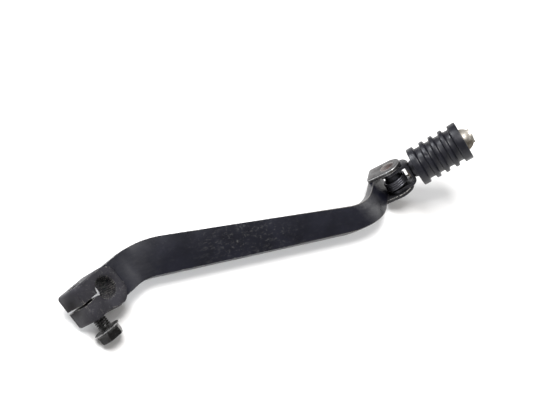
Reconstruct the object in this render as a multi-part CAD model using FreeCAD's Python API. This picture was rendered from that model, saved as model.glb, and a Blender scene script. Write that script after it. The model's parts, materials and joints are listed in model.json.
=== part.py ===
import FreeCAD, Part
import math
import os
from FreeCAD import Placement, Rotation, Vector

# A gear shift lever: a forged clamp hub with a serrated bore, a flat steel arm and a
# spring-loaded folding toe peg with a rubber sleeve. It is drawn in the lever's own axes:
# Z is the spline axis with +Z on the outer side, X runs from the bore towards the toe peg,
# and the origin is the centre of the bore. At the end it is laid down as it lies on a bench.

# ---- driving dimensions, in millimetres and degrees ----

# hub
HUB_THICKNESS = 14.4
HUB_BACK_X = 9.2
JAW_END_X = -14.3
HUB_TOP_Y = 8.5
JAW_BOTTOM_Y = -8.8
BARREL_BOTTOM_Y = -10.6
HUB_BACK_TOP_Y = 4.5
HUB_BACK_BOTTOM_Y = -6.4
JAW_CORNER_RADIUS = 1.8
BARREL_START_X = -4.6
BARREL_FLAT_START_X = -0.8
BARREL_FLAT_END_X = 5.2
HUB_SHOULDER_X = 4.8
BARREL_ROUND = 6.0
BARREL_END_ROUND = 4.0
HUB_BACK_ROUND = 2.0
HUB_EDGE_CHAMFER = 0.45
SLOT_WIDTH = 1.05

# serrated bore
TOOTH_COUNT = 32
TOOTH_TIP_RADIUS = 5.05
TOOTH_ROOT_RADIUS = 5.5
TIP_LAND_SHARE = 0.46
ROOT_LAND_SHARE = 0.2
BORE_RIM_RADIUS = 5.75

# pinch bolt, M6 with a flange head, two thirds screwed in
BOLT_X = -9.0
BOLT_Z = 1.2
BOLT_RADIUS = 3.0
THREAD_HOLE_RADIUS = 3.05
CLEARANCE_HOLE_RADIUS = 3.2
SPOT_FACE_RADIUS = 6.5
BOLT_LENGTH = 20.0
BOLT_TIP_CHAMFER = 0.8
BOLT_BACKED_OUT = 6.0
BOLT_FLANGE_RADIUS = 6.15
BOLT_FLANGE_RIM = 0.54
BOLT_FLANGE_THICKNESS = 1.44
BOLT_HEX_ACROSS_FLATS = 10.0
BOLT_HEX_TURN = 44.4
BOLT_HEAD_HEIGHT = 5.3
BOLT_HEAD_CORNER_DROP = 0.5

# arm: a flat bar, bent once near the hub and once near the toe
ARM_THICKNESS = 4.2
HUB_WELD_LEG = 3.4
WELD_CROWN_SHARE = 0.62
ARM_DROP = 0.3
ARM_START_X = 2.0
ARM_START_TOP_Y = 7.9
ARM_START_BOTTOM_Y = -9.3
ARM_RUN_SLOPE_TOP = -0.603
ARM_RUN_SLOPE_BOTTOM = -0.544
ARM_RUN_REFERENCE_X = 24.5
ARM_RUN_TOP_Y = 9.4
ARM_RUN_BOTTOM_Y = -11.3
ARM_RISE_START_X = 20.0
ARM_RISE_ANGLE = 26.8
TOE_BEND_X = 129.0
TOE_BEND_Y = -57.5
TOE_HEADING = 9.0
TOE_DIP = 12.5
TOE_RUN = 33.4
TOE_HALF_WIDTH = 6.9
ARM_END_ROUND = 1.5
ELBOW_RADIUS_TOP = 40.0
ELBOW_RADIUS_BOTTOM = 22.0
TOE_RADIUS_TOP = 24.0
TOE_RADIUS_BOTTOM = 48.0
RISE_BEND_RADIUS = 16.0
TOE_BEND_RADIUS = 24.0

# clevis and pivot
PIVOT_FORWARD = 26.2
PIVOT_HEIGHT = 8.0
CLEVIS_TWIST = 6.5
PLATE_THICKNESS = 2.0
PLATE_END_RADIUS = 7.6
PLATE_BASE_HALF_WIDTH = 7.0
PLATE_CORNER_RADIUS = 2.0
RIVET_RADIUS = 2.5
RIVET_HEAD_RADIUS = 4.1
RIVET_HEAD_HEIGHT = 1.2
RIVET_HEAD_DOME = [(0.96, 0.4), (0.72, 0.8), (0.35, 1.0)]  # shares of the head's radius and height
RIVET_TAIL_RADIUS = 3.7
RIVET_TAIL_HEIGHT = 1.0
RIVET_TAIL_ROUND = 0.6

# folding bracket, bush and spring
PEG_LEAN = 12.0
EAR_GAP = 0.3
EAR_THICKNESS = 1.8
EAR_HOLE_RADIUS = 2.55
EAR_RADIUS = 5.8
HEEL_FORWARD = 5.0
HEEL_BACK = 1.0
HEEL_ROUND = 1.0
HEEL_GAP = 0.9
WEB_OUTER = 11.0
WEB_HALF_WIDTH = 5.0
WEB_CORNER_RADIUS = 0.6
BRACKET_BEND_RADIUS = 3.6
BRACKET_INNER_BEND_RADIUS = 0.8
BUSH_RADIUS = 4.5
BUSH_HALF_LENGTH = 4.2
SPRING_WIRE_RADIUS = 0.6
SPRING_COIL_RADIUS = 6.0
SPRING_TURNS = 4.0
SPRING_PITCH = 1.22
SPRING_LOW_END = -3.6
SPRING_WEB_LEG = 7.4

# toe peg
COLLAR_LENGTH = 2.3
COLLAR_INNER_RADIUS = 4.6
COLLAR_OUTER_RADIUS = 5.4
STUD_RADIUS = 4.0
STUD_TENON_RADIUS = 3.0
STUD_TAIL_RADIUS = 4.0
STUD_TAIL_HEIGHT = 1.0
STUD_HEAD_RADIUS = 6.3
STUD_HEAD_HEIGHT = 5.2
RUBBER_RADIUS = 11.2
RUBBER_GROOVE_RADIUS = 9.4
RUBBER_RING_WIDTHS = [3.9, 2.3, 2.2, 2.2, 4.7]
RUBBER_GROOVE_WIDTHS = [4.0, 3.4, 3.7, 3.6]
RUBBER_FLANK = 0.5

# how the lever lies on a bench: on the bolt head, the lower edge of the hub and the lower clevis plate
BENCH_UP = Vector(-0.1532, 0.4849, 0.8611)

Z = Vector(0, 0, 1)
ORIGIN = Vector(0, 0, 0)


def rounded_wire(corners):
    """Closed wire in the XY plane through (x, y, radius) corners, each rounded by an arc."""
    count = len(corners)
    runs = []
    for i, (x, y, radius) in enumerate(corners):
        corner = Vector(x, y, 0)
        back = Vector(*corners[i - 1][:2], 0) - corner
        ahead = Vector(*corners[(i + 1) % count][:2], 0) - corner
        back.normalize()
        ahead.normalize()
        if radius == 0:
            runs.append((corner, None, corner))
            continue
        half = back.getAngle(ahead) / 2
        start = corner + back * (radius / math.tan(half))
        end = corner + ahead * (radius / math.tan(half))
        bisector = back + ahead
        bisector.normalize()
        middle = corner + bisector * (radius / math.sin(half) - radius)
        runs.append((start, middle, end))
    edges = []
    for i, (start, middle, end) in enumerate(runs):
        if middle is not None:
            edges.append(Part.Arc(start, middle, end).toShape())
        following = runs[(i + 1) % count][0]
        if end.distanceToPoint(following) > 1e-6:
            edges.append(Part.LineSegment(end, following).toShape())
    return Part.Wire(edges)


def prism(corners, low, high):
    """Solid with a rounded outline in XY, from height low to height high."""
    face = Part.Face(rounded_wire(corners))
    face.translate(Vector(0, 0, low))
    return face.extrude(Vector(0, 0, high - low))


def revolved(profile):
    """Solid of revolution about Z from (radius, height) points."""
    points = [Vector(radius, 0, height) for radius, height in profile]
    face = Part.Face(Part.makePolygon(points + points[:1]))
    return face.revolve(ORIGIN, Z, 360)


def frame_at(origin, x_axis, z_axis):
    """Placement whose local Z is z_axis and whose local X is x_axis."""
    y_axis = z_axis.cross(x_axis)
    return Placement(origin, Rotation(x_axis, y_axis, z_axis, "ZXY"))


def placed(shape, placement):
    """Copy of a shape moved by a placement."""
    moved = shape.copy()
    moved.Placement = placement.multiply(moved.Placement)
    return moved


def line_y(point, slope, x):
    return point[1] + slope * (x - point[0])


def crossing(point_a, slope_a, point_b, slope_b):
    """Where two lines in the XY plane cross."""
    x = (point_b[1] - point_a[1] + slope_a * point_a[0] - slope_b * point_b[0]) / (slope_a - slope_b)
    return x, line_y(point_a, slope_a, x)


# ---- directions and points that several pieces share ----

HEADING = math.radians(TOE_HEADING)
DIP = math.radians(TOE_DIP)
TWIST = math.radians(CLEVIS_TWIST)
LEAN = math.radians(PEG_LEAN)
TOE_LEVEL = Vector(math.cos(HEADING), math.sin(HEADING), 0)
TOE_ACROSS = Z.cross(TOE_LEVEL)
TOE_ALONG = TOE_LEVEL * math.cos(DIP) - Z * math.sin(DIP)
TOE_UP = TOE_LEVEL * math.sin(DIP) + Z * math.cos(DIP)
FOLD_AXIS = TOE_ACROSS * math.cos(TWIST) + TOE_UP * math.sin(TWIST)
CLEVIS_UP = TOE_UP * math.cos(TWIST) - TOE_ACROSS * math.sin(TWIST)
PEG_AXIS = TOE_ALONG * math.sin(LEAN) + CLEVIS_UP * math.cos(LEAN)

ARM_TOP_Z = HUB_THICKNESS / 2 - ARM_DROP
TOE_BEND_TOP_Z = ARM_TOP_Z + (TOE_BEND_X - ARM_RISE_START_X) * math.tan(math.radians(ARM_RISE_ANGLE))
TOE_BEND = Vector(TOE_BEND_X, TOE_BEND_Y, TOE_BEND_TOP_Z)
BAR_CORE = TOE_BEND + TOE_ALONG * PIVOT_FORWARD - TOE_UP * (ARM_THICKNESS / 2)
PIVOT = BAR_CORE + CLEVIS_UP * (PIVOT_HEIGHT + ARM_THICKNESS / 2)

PLATE_INNER = TOE_HALF_WIDTH
PLATE_OUTER = TOE_HALF_WIDTH + PLATE_THICKNESS
EAR_OUTER = PLATE_INNER - EAR_GAP
EAR_INNER = EAR_OUTER - EAR_THICKNESS

# local frames at the pivot: Z along the fold axis, X along the bar's end or along the peg
CLEVIS_FRAME = frame_at(PIVOT, CLEVIS_UP, FOLD_AXIS)
BRACKET_FRAME = frame_at(PIVOT, PEG_AXIS, FOLD_AXIS)
PEG_FRAME = frame_at(PIVOT, FOLD_AXIS, PEG_AXIS)
BOLT_SEAT = Vector(BOLT_X, JAW_BOTTOM_Y - BOLT_BACKED_OUT, BOLT_Z)
BOLT_FRAME = frame_at(BOLT_SEAT, Vector(1, 0, 0), Vector(0, 1, 0))

RUBBER_START = WEB_OUTER + COLLAR_LENGTH
RUBBER_LENGTH = sum(RUBBER_RING_WIDTHS) + sum(RUBBER_GROOVE_WIDTHS)


# ---- hub ----

def hub_outline(low, high):
    """The hub's outer form: two jaws, a barrel that is fuller on the lower side and a flat back."""
    return prism([(JAW_END_X, HUB_TOP_Y, JAW_CORNER_RADIUS),
                  (JAW_END_X, JAW_BOTTOM_Y, JAW_CORNER_RADIUS),
                  (BARREL_START_X, JAW_BOTTOM_Y, BARREL_ROUND),
                  (BARREL_FLAT_START_X, BARREL_BOTTOM_Y, BARREL_ROUND),
                  (BARREL_FLAT_END_X, BARREL_BOTTOM_Y, BARREL_END_ROUND),
                  (HUB_BACK_X, HUB_BACK_BOTTOM_Y, HUB_BACK_ROUND),
                  (HUB_BACK_X, HUB_BACK_TOP_Y, HUB_BACK_ROUND),
                  (HUB_SHOULDER_X, HUB_TOP_Y, BARREL_ROUND)], low, high)


def serrated_bore(low, high):
    """Prism of the toothed hole: flat tip lands, straight flanks and flat roots."""
    pitch = 2 * math.pi / TOOTH_COUNT
    tip_half = pitch * TIP_LAND_SHARE / 2
    root_half = pitch * ROOT_LAND_SHARE / 2

    def at(radius, angle):
        return Vector(radius * math.cos(angle), radius * math.sin(angle), low)

    edges = []
    for i in range(TOOTH_COUNT):
        tip = i * pitch
        root = tip + pitch / 2
        tip_start = at(TOOTH_TIP_RADIUS, tip - tip_half)
        tip_end = at(TOOTH_TIP_RADIUS, tip + tip_half)
        root_start = at(TOOTH_ROOT_RADIUS, root - root_half)
        root_end = at(TOOTH_ROOT_RADIUS, root + root_half)
        next_tip = at(TOOTH_TIP_RADIUS, tip + pitch - tip_half)
        edges.append(Part.Arc(tip_start, at(TOOTH_TIP_RADIUS, tip), tip_end).toShape())
        edges.append(Part.LineSegment(tip_end, root_start).toShape())
        edges.append(Part.LineSegment(root_start, root_end).toShape())
        edges.append(Part.LineSegment(root_end, next_tip).toShape())
    return Part.Face(Part.Wire(edges)).extrude(Vector(0, 0, high - low))


def hub_clamp():
    half = HUB_THICKNESS / 2
    hub = hub_outline(-half, half)
    rim = [edge for edge in hub.Edges if edge.BoundBox.ZLength < 1e-6]
    hub = hub.makeChamfer(HUB_EDGE_CHAMFER, rim)
    hub = hub.cut(serrated_bore(-half - 1, half + 1))
    rim_depth = BORE_RIM_RADIUS - TOOTH_TIP_RADIUS
    for side in (1, -1):
        countersink = Part.makeCone(BORE_RIM_RADIUS, TOOTH_TIP_RADIUS, rim_depth,
                                    Vector(0, 0, side * half), Vector(0, 0, -side))
        hub = hub.cut(countersink)
    slot = Part.makeBox(-JAW_END_X, SLOT_WIDTH, HUB_THICKNESS, Vector(JAW_END_X, -SLOT_WIDTH / 2, -half))
    hub = hub.cut(slot)
    across = Vector(0, 1, 0)
    reach = 2 * HUB_TOP_Y
    hub = hub.cut(Part.makeCylinder(CLEARANCE_HOLE_RADIUS, reach, Vector(BOLT_X, -reach, BOLT_Z), across))
    hub = hub.cut(Part.makeCylinder(SPOT_FACE_RADIUS, reach, Vector(BOLT_X, JAW_BOTTOM_Y, BOLT_Z), -across))
    return hub.cut(Part.makeCylinder(THREAD_HOLE_RADIUS, reach, Vector(BOLT_X, 0, BOLT_Z), across))


def hub_weld_bead():
    """Fillet weld under the arm, along the flat back of the hub."""
    underside = ARM_TOP_Z - ARM_THICKNESS
    leg = HUB_WELD_LEG
    crown = leg * WELD_CROWN_SHARE
    length = HUB_BACK_TOP_Y - HUB_BACK_BOTTOM_Y
    bead = prism([(0, 0, 0), (leg, 0, 0), (crown, -crown, 0), (0, -leg, 0)], 0, length)
    corner = Vector(HUB_BACK_X, HUB_BACK_TOP_Y, underside)
    return placed(bead, frame_at(corner, Vector(1, 0, 0), Vector(0, -1, 0)))


def pinch_bolt():
    """Flange bolt along its own Z: the bearing face of the flange is at height 0."""
    inner_radius = BOLT_HEX_ACROSS_FLATS / 2
    shank = revolved([(0, -1), (BOLT_RADIUS, -1), (BOLT_RADIUS, BOLT_LENGTH - BOLT_TIP_CHAMFER),
                      (BOLT_RADIUS - BOLT_TIP_CHAMFER, BOLT_LENGTH), (0, BOLT_LENGTH)])
    flange = revolved([(0, 0), (BOLT_FLANGE_RADIUS, 0), (BOLT_FLANGE_RADIUS, -BOLT_FLANGE_RIM),
                       (inner_radius, -BOLT_FLANGE_THICKNESS), (0, -BOLT_FLANGE_THICKNESS)])
    corner_radius = BOLT_HEX_ACROSS_FLATS / math.sqrt(3)
    turns = [math.radians(BOLT_HEX_TURN + 60 * i) for i in range(6)]
    corners = [(corner_radius * math.cos(turn), corner_radius * math.sin(turn), 0) for turn in turns]
    hexagon = prism(corners, -BOLT_HEAD_HEIGHT, -BOLT_FLANGE_RIM)
    dome = revolved([(0, 0), (corner_radius, 0), (corner_radius, -BOLT_HEAD_HEIGHT + BOLT_HEAD_CORNER_DROP),
                     (inner_radius, -BOLT_HEAD_HEIGHT), (0, -BOLT_HEAD_HEIGHT)])
    bolt = shank.fuse(flange).fuse(hexagon.common(dome)).removeSplitter()
    return placed(bolt, BOLT_FRAME)


# ---- arm ----

def arm_plan():
    """The arm seen along the spline axis: two tapering edges, an elbow and a toe bend."""
    toe_slope = math.tan(HEADING)
    half = TOE_HALF_WIDTH / math.cos(HEADING)
    run_top = (ARM_RUN_REFERENCE_X, ARM_RUN_TOP_Y)
    run_bottom = (ARM_RUN_REFERENCE_X, ARM_RUN_BOTTOM_Y)
    toe_top = (TOE_BEND_X, TOE_BEND_Y + half)
    toe_bottom = (TOE_BEND_X, TOE_BEND_Y - half)
    elbow_top = crossing(run_top, ARM_RUN_SLOPE_TOP, (0, ARM_START_TOP_Y), 0)
    elbow_bottom = crossing(run_bottom, ARM_RUN_SLOPE_BOTTOM, (0, ARM_START_BOTTOM_Y), 0)
    bend_top = crossing(run_top, ARM_RUN_SLOPE_TOP, toe_top, toe_slope)
    bend_bottom = crossing(run_bottom, ARM_RUN_SLOPE_BOTTOM, toe_bottom, toe_slope)
    end = Vector(TOE_BEND_X, TOE_BEND_Y, 0) + TOE_LEVEL * (TOE_RUN * math.cos(DIP))
    end_top = end + FOLD_AXIS * TOE_HALF_WIDTH
    end_bottom = end - FOLD_AXIS * TOE_HALF_WIDTH
    return [(ARM_START_X, ARM_START_BOTTOM_Y, 0),
            (*elbow_bottom, ELBOW_RADIUS_BOTTOM),
            (*bend_bottom, TOE_RADIUS_BOTTOM),
            (end_bottom.x, end_bottom.y, ARM_END_ROUND),
            (end_top.x, end_top.y, ARM_END_ROUND),
            (*bend_top, TOE_RADIUS_TOP),
            (*elbow_top, ELBOW_RADIUS_TOP),
            (ARM_START_X, ARM_START_TOP_Y, 0)]


def arm_side():
    """The arm seen from the side, in (x, z): flat, rising, then dipping towards the toe."""
    rise = math.radians(ARM_RISE_ANGLE)
    dip_slope = -math.tan(DIP) / math.cos(HEADING)
    dip = math.atan(dip_slope)
    far_x = TOE_BEND_X + 2 * TOE_RUN
    top_end = TOE_BEND_TOP_Z + dip_slope * (far_x - TOE_BEND_X)
    under_start = ARM_TOP_Z - ARM_THICKNESS
    under_rise = (ARM_RISE_START_X, ARM_TOP_Z - ARM_THICKNESS / math.cos(rise))
    under_dip = (TOE_BEND_X, TOE_BEND_TOP_Z - ARM_THICKNESS / math.cos(dip))
    rise_corner = crossing((0, under_start), 0, under_rise, math.tan(rise))
    toe_corner = crossing(under_rise, math.tan(rise), under_dip, dip_slope)
    return [(ARM_START_X, ARM_TOP_Z, 0),
            (ARM_START_X, under_start, 0),
            (*rise_corner, RISE_BEND_RADIUS + ARM_THICKNESS),
            (*toe_corner, TOE_BEND_RADIUS),
            (far_x, line_y(under_dip, dip_slope, far_x), 0),
            (far_x, top_end, 0),
            (TOE_BEND_X, TOE_BEND_TOP_Z, TOE_BEND_RADIUS + ARM_THICKNESS),
            (ARM_RISE_START_X, ARM_TOP_Z, RISE_BEND_RADIUS)]


def lever_arm():
    tall = 2 * TOE_BEND_TOP_Z
    plan = prism(arm_plan(), -tall, tall)
    side = prism(arm_side(), -tall, tall)
    side.rotate(ORIGIN, Vector(1, 0, 0), 90)
    arm = plan.common(side).cut(hub_outline(-HUB_THICKNESS, HUB_THICKNESS))
    for low in (PLATE_INNER, -PLATE_OUTER):
        arm = arm.cut(clevis_blank(low, low + PLATE_THICKNESS))
    return arm


# ---- clevis ----

def clevis_blank(low, high):
    """Plate across one edge of the bar, round at the pivot end. Local X points away from the bar."""
    base = -PIVOT_HEIGHT - ARM_THICKNESS
    blade = prism([(base, -PLATE_BASE_HALF_WIDTH, PLATE_CORNER_RADIUS), (0, -PLATE_END_RADIUS, 0),
                   (0, PLATE_END_RADIUS, 0), (base, PLATE_BASE_HALF_WIDTH, PLATE_CORNER_RADIUS)], low, high)
    end = Part.makeCylinder(PLATE_END_RADIUS, high - low, Vector(0, 0, low))
    return placed(blade.fuse(end).removeSplitter(), CLEVIS_FRAME)


def clevis_plate(low):
    hole = placed(Part.makeCylinder(RIVET_RADIUS, PLATE_THICKNESS, Vector(0, 0, low)), CLEVIS_FRAME)
    return clevis_blank(low, low + PLATE_THICKNESS).cut(hole)


def pivot_rivet():
    """Rivet with a domed head on the upper plate and a peened tail under the lower one."""
    tail_end = -PLATE_OUTER - RIVET_TAIL_HEIGHT
    profile = [(0, tail_end),
               (RIVET_TAIL_RADIUS - RIVET_TAIL_ROUND, tail_end),
               (RIVET_TAIL_RADIUS, tail_end + RIVET_TAIL_ROUND),
               (RIVET_TAIL_RADIUS, -PLATE_OUTER),
               (RIVET_RADIUS, -PLATE_OUTER),
               (RIVET_RADIUS, PLATE_OUTER),
               (RIVET_HEAD_RADIUS, PLATE_OUTER)]
    for radius_share, height_share in RIVET_HEAD_DOME:
        profile.append((RIVET_HEAD_RADIUS * radius_share, PLATE_OUTER + RIVET_HEAD_HEIGHT * height_share))
    profile.append((0, PLATE_OUTER + RIVET_HEAD_HEIGHT))
    return placed(revolved(profile), CLEVIS_FRAME)


def pivot_bush():
    tube = revolved([(RIVET_RADIUS, -BUSH_HALF_LENGTH), (BUSH_RADIUS, -BUSH_HALF_LENGTH),
                     (BUSH_RADIUS, BUSH_HALF_LENGTH), (RIVET_RADIUS, BUSH_HALF_LENGTH)])
    return placed(tube, CLEVIS_FRAME)


def torsion_spring():
    """Coil round the bush with one leg down to the bar and one leg out to the bracket's web."""
    height = SPRING_TURNS * SPRING_PITCH
    tangent = Vector(0, 2 * math.pi * SPRING_COIL_RADIUS, SPRING_PITCH)
    tangent.normalize()
    coil_start = Vector(SPRING_COIL_RADIUS, 0, 0)
    coil_end = Vector(SPRING_COIL_RADIUS, 0, height)
    web_end = coil_start - tangent * SPRING_WEB_LEG
    bar_end = coil_end + tangent * (PIVOT_HEIGHT - SPRING_WIRE_RADIUS)
    coil = Part.makeHelix(SPRING_PITCH, height, SPRING_COIL_RADIUS)
    path = Part.Wire([Part.makeLine(web_end, coil_start), *coil.Edges, Part.makeLine(coil_end, bar_end)])
    section = Part.Wire(Part.Circle(web_end, tangent, SPRING_WIRE_RADIUS).toShape())
    spring = path.makePipeShell([section], True, True)
    spring.translate(Vector(0, 0, SPRING_LOW_END))
    spring.rotate(ORIGIN, Z, 90)
    return placed(spring, CLEVIS_FRAME)


# ---- folding toe peg ----

def bracket_side():
    """The bracket seen along the rivet: a round ear, a web end and a heel that stops on the bar."""
    blade = prism([(0, -EAR_RADIUS, 0),
                   (WEB_OUTER, -WEB_HALF_WIDTH, WEB_CORNER_RADIUS),
                   (WEB_OUTER, WEB_HALF_WIDTH, WEB_CORNER_RADIUS),
                   (0, EAR_RADIUS, 0)], -EAR_OUTER, EAR_OUTER)
    ear = Part.makeCylinder(EAR_RADIUS, 2 * EAR_OUTER, Vector(0, 0, -EAR_OUTER))
    foot = -PIVOT_HEIGHT + HEEL_GAP
    heel = prism([(foot, -HEEL_BACK, HEEL_ROUND),
                  (0, -HEEL_FORWARD, 0),
                  (0, EAR_RADIUS, 0),
                  (foot, HEEL_FORWARD, HEEL_ROUND)], -EAR_OUTER, EAR_OUTER)
    heel.rotate(ORIGIN, Z, -PEG_LEAN)
    return blade.fuse(ear).fuse(heel).removeSplitter()


def peg_bracket():
    """U-shaped bracket: two ears on the rivet and a web that carries the stud."""
    side = bracket_side()
    wide = 2 * WEB_OUTER
    channel = prism([(-wide, -EAR_OUTER, 0), (WEB_OUTER, -EAR_OUTER, BRACKET_BEND_RADIUS),
                     (WEB_OUTER, EAR_OUTER, BRACKET_BEND_RADIUS), (-wide, EAR_OUTER, 0)], -wide, wide)
    web_inner = WEB_OUTER - EAR_THICKNESS
    inside = prism([(-wide - 1, -EAR_INNER, 0),
                    (web_inner, -EAR_INNER, BRACKET_INNER_BEND_RADIUS),
                    (web_inner, EAR_INNER, BRACKET_INNER_BEND_RADIUS),
                    (-wide - 1, EAR_INNER, 0)], -wide, wide)
    channel = channel.cut(inside)
    channel.rotate(ORIGIN, Vector(1, 0, 0), 90)
    bracket = side.common(channel)
    pivot_hole = Part.makeCylinder(EAR_HOLE_RADIUS, 2 * EAR_OUTER, Vector(0, 0, -EAR_OUTER))
    stud_hole = Part.makeCylinder(STUD_TENON_RADIUS, 2 * EAR_THICKNESS,
                                  Vector(web_inner - EAR_THICKNESS, 0, 0), Vector(1, 0, 0))
    return placed(bracket.cut(pivot_hole).cut(stud_hole), BRACKET_FRAME)


def peg_collar():
    """Tapered collar that spaces the rubber off the bracket."""
    ring = revolved([(STUD_RADIUS, WEB_OUTER), (COLLAR_INNER_RADIUS, WEB_OUTER),
                     (COLLAR_OUTER_RADIUS, RUBBER_START), (STUD_RADIUS, RUBBER_START)])
    return placed(ring, PEG_FRAME)


def peg_stud():
    """Stud with a domed head outside the rubber and a peened tenon inside the web."""
    web_inner = WEB_OUTER - EAR_THICKNESS
    head_base = RUBBER_START + RUBBER_LENGTH
    profile = [(0, web_inner - STUD_TAIL_HEIGHT),
               (STUD_TAIL_RADIUS, web_inner - STUD_TAIL_HEIGHT),
               (STUD_TAIL_RADIUS, web_inner),
               (STUD_TENON_RADIUS, web_inner),
               (STUD_TENON_RADIUS, WEB_OUTER),
               (STUD_RADIUS, WEB_OUTER),
               (STUD_RADIUS, head_base),
               (STUD_HEAD_RADIUS, head_base)]
    outline = [Vector(radius, 0, height) for radius, height in profile]
    sphere = (STUD_HEAD_RADIUS ** 2 + STUD_HEAD_HEIGHT ** 2) / (2 * STUD_HEAD_HEIGHT)
    centre = head_base + STUD_HEAD_HEIGHT - sphere
    shoulder = sphere * math.cos(math.radians(45))
    crown = Vector(0, 0, head_base + STUD_HEAD_HEIGHT)
    arc = Part.Arc(outline[-1], Vector(shoulder, 0, centre + shoulder), crown)
    wire = Part.Wire([*Part.makePolygon(outline).Edges, arc.toShape(), Part.makeLine(crown, outline[0])])
    return placed(Part.Face(wire).revolve(ORIGIN, Z, 360), PEG_FRAME)


def peg_rubber():
    """Sleeve with five rings whose flanks slope into the grooves."""
    profile = [(STUD_RADIUS, RUBBER_START)]
    height = RUBBER_START
    for i, ring in enumerate(RUBBER_RING_WIDTHS):
        first, last = i == 0, i == len(RUBBER_RING_WIDTHS) - 1
        profile.append((RUBBER_RADIUS, height))
        profile.append((RUBBER_RADIUS, height + ring))
        height += ring
        if not last:
            groove = RUBBER_GROOVE_WIDTHS[i]
            profile.append((RUBBER_GROOVE_RADIUS, height + RUBBER_FLANK))
            profile.append((RUBBER_GROOVE_RADIUS, height + groove - RUBBER_FLANK))
            height += groove
    profile.append((STUD_RADIUS, height))
    return placed(revolved(profile), PEG_FRAME)


# ---- lay the lever on the bench and write the pieces ----

def bench_placement():
    """Turns the lever so that BENCH_UP points up and the arm runs along +X."""
    up = Vector(BENCH_UP)
    up.normalize()
    along = Vector(PIVOT.x, PIVOT.y, PIVOT.z)
    along = along - up * along.dot(up)
    along.normalize()
    return Placement(ORIGIN, Rotation(along, up.cross(along), up, "ZXY")).inverse()


PIECES = {
    "hub_clamp": hub_clamp,
    "hub_weld_bead": hub_weld_bead,
    "pinch_bolt": pinch_bolt,
    "lever_arm": lever_arm,
    "clevis_plate_upper": lambda: clevis_plate(PLATE_INNER),
    "clevis_plate_lower": lambda: clevis_plate(-PLATE_OUTER),
    "pivot_rivet": pivot_rivet,
    "pivot_bush": pivot_bush,
    "torsion_spring": torsion_spring,
    "peg_bracket": peg_bracket,
    "peg_collar": peg_collar,
    "peg_stud": peg_stud,
    "peg_rubber": peg_rubber,
}

os.makedirs("parts", exist_ok=True)
bench = bench_placement()
for name, build in PIECES.items():
    shape = placed(build(), bench)
    print(name, "valid", shape.isValid(), "solids", len(shape.Solids), "volume", round(shape.Volume, 1))
    shape.exportStep("parts/" + name + ".step")
print("pivot", bench.multVec(PIVOT), "fold axis", bench.Rotation.multVec(FOLD_AXIS))
print("peg axis", bench.Rotation.multVec(PEG_AXIS), "spline axis", bench.Rotation.multVec(Z))
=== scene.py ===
"""Looks of the gear shift lever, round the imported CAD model. Metres, in the model's own frame."""

import json
import math

import bmesh
import bpy
import numpy as np
from mathutils import Matrix, Vector, noise


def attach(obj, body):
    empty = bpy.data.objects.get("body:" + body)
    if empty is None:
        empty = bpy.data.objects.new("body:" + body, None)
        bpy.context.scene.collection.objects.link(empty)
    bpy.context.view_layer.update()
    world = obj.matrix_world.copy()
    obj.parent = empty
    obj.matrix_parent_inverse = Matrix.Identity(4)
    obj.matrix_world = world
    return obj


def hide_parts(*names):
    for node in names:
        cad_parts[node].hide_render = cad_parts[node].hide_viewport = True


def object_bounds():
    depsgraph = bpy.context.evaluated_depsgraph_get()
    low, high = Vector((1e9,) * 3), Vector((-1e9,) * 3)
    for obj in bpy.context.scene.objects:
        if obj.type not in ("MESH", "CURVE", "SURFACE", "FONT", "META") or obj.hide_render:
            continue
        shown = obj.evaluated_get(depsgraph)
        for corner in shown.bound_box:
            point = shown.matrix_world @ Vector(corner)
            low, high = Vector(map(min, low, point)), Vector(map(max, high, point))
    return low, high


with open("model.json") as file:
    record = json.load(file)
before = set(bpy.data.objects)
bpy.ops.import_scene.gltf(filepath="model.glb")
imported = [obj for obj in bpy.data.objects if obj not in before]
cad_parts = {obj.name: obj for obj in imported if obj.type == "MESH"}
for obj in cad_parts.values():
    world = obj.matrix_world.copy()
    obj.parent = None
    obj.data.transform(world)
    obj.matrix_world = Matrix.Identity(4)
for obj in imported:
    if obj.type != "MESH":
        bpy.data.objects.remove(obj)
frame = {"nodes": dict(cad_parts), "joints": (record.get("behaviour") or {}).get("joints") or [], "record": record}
cad_low, cad_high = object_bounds()

MM = 0.001
RECORD = frame["record"]

# camera: where it stands, what it looks at and how far it is rolled
CAMERA_PLACE = Vector((-0.0909, -0.1647, 0.2919))
CAMERA_AIM = Vector((0.0977, 0.0057, 0.0100))
CAMERA_ROLL = math.radians(20.36)
CAMERA_LENS = 49.1

# softened edges on the steel pieces: width, and the angle above which an edge counts as sharp
EDGE_WIDTHS = {
    "hub_clamp": (0.14 * MM, 60),
    "lever_arm": (0.38 * MM, 40),
    "clevis_plate_upper": (0.30 * MM, 40),
    "clevis_plate_lower": (0.30 * MM, 40),
    "peg_bracket": (0.22 * MM, 40),
    "pivot_bush": (0.15 * MM, 40),
    "peg_collar": (0.20 * MM, 30),
}

# before softening, vertices this close become one and faces this close to one plane become one
SAME_PLACE = 0.002 * MM
SAME_PLANE = math.radians(0.4)


# ---- reading the frame ----

def body_of(node):
    return next(body for body, nodes in RECORD["behaviour"]["bodies"].items() if node in nodes)


def joint(name):
    return next(j for j in frame["joints"] if j["name"] == name)


def node_points(node):
    """The node's distinct vertices."""
    points = np.array([v.co for v in frame["nodes"][node].data.vertices])
    return np.unique(points.round(7), axis=0)


def lathe_axis(node, towards):
    """Centre and axis of a round piece, from the spread of its vertices. The axis points the way of
    the direction that is given."""
    points = node_points(node)
    centre = points.mean(0)
    spread, axes = np.linalg.eigh(np.cov((points - centre).T))
    odd_one = 2 if spread[1] - spread[0] < spread[2] - spread[1] else 0
    axis = Vector(axes[:, odd_one])
    if axis.dot(towards) < 0:
        axis.negate()
    return Vector(centre), axis


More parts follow.
